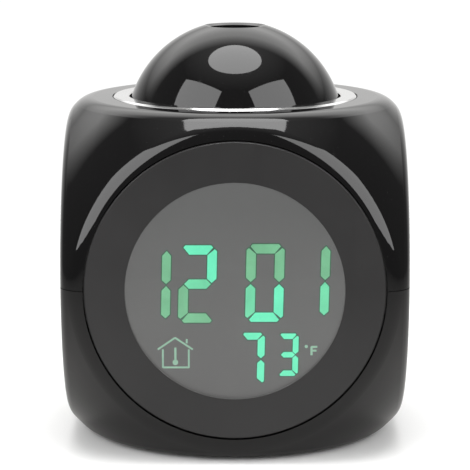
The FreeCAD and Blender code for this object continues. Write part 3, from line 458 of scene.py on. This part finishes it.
def grown(poly, d):
    """Outline moved outwards by d."""
    n = len(poly)
    area = sum(poly[i][0] * poly[(i + 1) % n][1] - poly[(i + 1) % n][0] * poly[i][1] for i in range(n))
    s = 1.0 if area > 0 else -1.0
    out = []
    for i in range(n):
        (x0, z0), (x1, z1), (x2, z2) = poly[i - 1], poly[i], poly[(i + 1) % n]
        a = Vector((x1 - x0, z1 - z0)).normalized()
        b = Vector((x2 - x1, z2 - z1)).normalized()
        na, nb = Vector((a.y, -a.x)) * s, Vector((b.y, -b.x)) * s
        m = na + nb
        m = m / max(m.dot(na), 0.35)
        out.append((x1 + m.x * d, z1 + m.y * d))
    return out


# painted shadow: faint darker green rims round the segments stand in for the segments' shadow on the display behind
# them
MAT["seg_painted_shadow_rim"] = glow("seg_painted_shadow_rim", (0.040, 0.128, 0.076), 1.0, 0.12)
plates("display_digit_painted_shadows", [grown(q, 0.24) for q in bright + mid + dim], MAT["seg_painted_shadow_rim"], thick=0.02)
plates("display_digits_bright", bright, MAT["seg_bright"])
plates("display_digits_mid", mid, MAT["seg_mid"])
plates("display_digits_dim", dim, MAT["seg_dim"])


def stroke(p, q, t):
    """Thin bar from p to q."""
    (x0, z0), (x1, z1) = p, q
    d = math.hypot(x1 - x0, z1 - z0)
    nx, nz = -(z1 - z0) / d * t / 2, (x1 - x0) / d * t / 2
    return [(x0 + nx, z0 + nz), (x0 - nx, z0 - nz), (x1 - nx, z1 - nz), (x1 + nx, z1 + nz)]


pale = []
Zm = zoomed
t = 0.42
pale += [stroke(Zm(165, 885), Zm(285, 803), t), stroke(Zm(285, 803), Zm(408, 885), t)]
pale += [stroke(Zm(200, 884), Zm(200, 1012), t), stroke(Zm(380, 884), Zm(380, 1012), t), stroke(Zm(197, 1010), Zm(383, 1010), t)]
pale += [stroke(Zm(366, 812), Zm(366, 842), t)]
pale += [stroke(Zm(287, 872), Zm(287, 960), 0.5)]
cx, cz = Zm(287, 975)
pale.append([(cx + 0.65 * math.cos(a * math.pi / 8), cz + 0.65 * math.sin(a * math.pi / 8)) for a in range(16)])
# degree sign and F
cx, cz = Zm(1195, 864)
pale.append([(cx + 0.38 * math.cos(a * math.pi / 6), cz + 0.38 * math.sin(a * math.pi / 6)) for a in range(12)])
f0, f1, f2, f3 = Zm(1232, 866), Zm(1232, 925), Zm(1272, 866), Zm(1266, 893)
pale += [stroke(f0, f1, 0.5), stroke(Zm(1229, 868), f2, 0.48), stroke(Zm(1232, 893), f3, 0.44)]
plates("display_signs", pale, MAT["seg_pale"])

# ------------------------------------------------------------------ floor, light and surroundings
floor_mesh = bpy.data.meshes.new("floor")
bm = bmesh.new()
bmesh.ops.create_circle(bm, cap_ends=True, segments=96, radius=3.0)
bm.to_mesh(floor_mesh)
bm.free()
floor = bpy.data.objects.new("floor", floor_mesh)
bpy.context.scene.collection.objects.link(floor)
fm, nt, b = new_mat("floor_white")
lpf = add(nt, "ShaderNodeLightPath")
tone = add(nt, "ShaderNodeMix", data_type="RGBA")
nt.links.new(lpf.outputs["Is Camera Ray"], tone.inputs["Factor"])
tone.inputs["A"].default_value = (0.46, 0.455, 0.445, 1)
tone.inputs["B"].default_value = (0.98, 0.98, 0.975, 1)
soft = add(nt, "ShaderNodeMix", data_type="RGBA")
nt.links.new(lpf.outputs["Is Diffuse Ray"], soft.inputs["Factor"])
nt.links.new(tone.outputs["Result"], soft.inputs["A"])
soft.inputs["B"].default_value = (0.2, 0.2, 0.195, 1)
nt.links.new(soft.outputs["Result"], b.inputs["Base Color"])
b.inputs["Roughness"].default_value = 0.75
b.inputs["Specular IOR Level"].default_value = 0.15
tc = add(nt, "ShaderNodeTexCoord")
ln = add(nt, "ShaderNodeVectorMath", operation="LENGTH")
nt.links.new(tc.outputs["Object"], ln.inputs[0])
fade = remap(nt, ln.outputs["Value"], 0.0, 1.0, 0.075, 0.4)
tr = add(nt, "ShaderNodeBsdfTransparent")
mx = add(nt, "ShaderNodeMixShader")
out = next(n for n in nt.nodes if n.type == "OUTPUT_MATERIAL")
# from below, the floor is not seen
geo = add(nt, "ShaderNodeNewGeometry")
gone = maths(nt, "MAXIMUM", fade, geo.outputs["Backfacing"])
nt.links.new(maths(nt, "MAXIMUM", gone, lpf.outputs["Is Shadow Ray"]), mx.inputs[0])
nt.links.new(b.outputs[0], mx.inputs[1])
nt.links.new(tr.outputs[0], mx.inputs[2])
nt.links.new(mx.outputs[0], out.inputs["Surface"])
floor_mesh.materials.append(fm)
floor.location = (0, 0, -0.00005)

world = bpy.data.worlds.new("studio")
bpy.context.scene.world = world
world.use_nodes = True
wt = world.node_tree
wt.nodes.clear()
wout = wt.nodes.new("ShaderNodeOutputWorld")
tc = wt.nodes.new("ShaderNodeTexCoord")
sep = wt.nodes.new("ShaderNodeSeparateXYZ")
wt.links.new(tc.outputs["Generated"], sep.inputs[0])
# pale sweep behind the clock, a bright ceiling behind it, a dark room on the camera's side
low = remap(wt, sep.outputs["Y"], 0.0, 0.75, 0.5, 0.97)
high = maths(wt, "MULTIPLY", remap(wt, sep.outputs["Y"], 0.0, 1.8, 0.3, 0.56), remap(wt, sep.outputs["Z"], 0.0, 1.0, 0.22, 0.55))
level = maths(wt, "ADD", maths(wt, "MAXIMUM", low, high), remap(wt, sep.outputs["Z"], 0.14, 0.5, 0.75, 0.98))
level = maths(wt, "MULTIPLY", level, remap(wt, sep.outputs["Z"], 0.0, 1.0, -0.4, -0.16))
col = ramp(wt, maths(wt, "MULTIPLY", level, 0.4), [(0.0, (0.0, 0.0, 0.0)), (1.0, (1.0, 0.995, 0.985))])
studio = wt.nodes.new("ShaderNodeBackground")
wt.links.new(col, studio.inputs["Color"])
studio.inputs["Strength"].default_value = 2.5
plain = wt.nodes.new("ShaderNodeBackground")
plain.inputs["Color"].default_value = (1, 1, 1, 1)
plain.inputs["Strength"].default_value = 1.05
lp = wt.nodes.new("ShaderNodeLightPath")
mixw = wt.nodes.new("ShaderNodeMixShader")
wt.links.new(lp.outputs["Is Camera Ray"], mixw.inputs[0])
wt.links.new(studio.outputs[0], mixw.inputs[1])
wt.links.new(plain.outputs[0], mixw.inputs[2])
wt.links.new(mixw.outputs[0], wout.inputs["Surface"])


def softbox(name, az, el, dist, sx, sy, radiance, centre=(0, 0, 0.07)):
    """A soft rectangular light seen from the clock at azimuth az (0 = towards the camera, + = to the right) and elevation el."""
    a, e = math.radians(az), math.radians(el)
    d = Vector((math.sin(a) * math.cos(e), -math.cos(a) * math.cos(e), math.sin(e)))
    ld = bpy.data.lights.new(name, "AREA")
    ld.shape = "RECTANGLE"
    ld.size, ld.size_y = sx, sy
    ld.energy = radiance * math.pi * sx * sy
    lo = bpy.data.objects.new(name, ld)
    bpy.context.scene.collection.objects.link(lo)
    lo.location = Vector(centre) + d * dist
    lo.rotation_euler = d.to_track_quat("Z", "Y").to_euler()
    return lo


top = softbox("overhead", 0, 86.0, 0.80, 0.62, 0.56, 4.0)
top.data.shape = "ELLIPSE"
softbox("left_box", -49, 26, 0.95, 0.78, 0.86, 3.7)
softbox("right_box", 49, 26, 0.95, 0.78, 0.86, 3.5)

# a small lamp under the floor for views of the underside; the front and the floor get none of it
under = softbox("under", 0, -90.0, 0.42, 0.06, 0.06, 1.0)
under.data.energy = 1.6
under.visible_glossy = False
under.visible_transmission = False
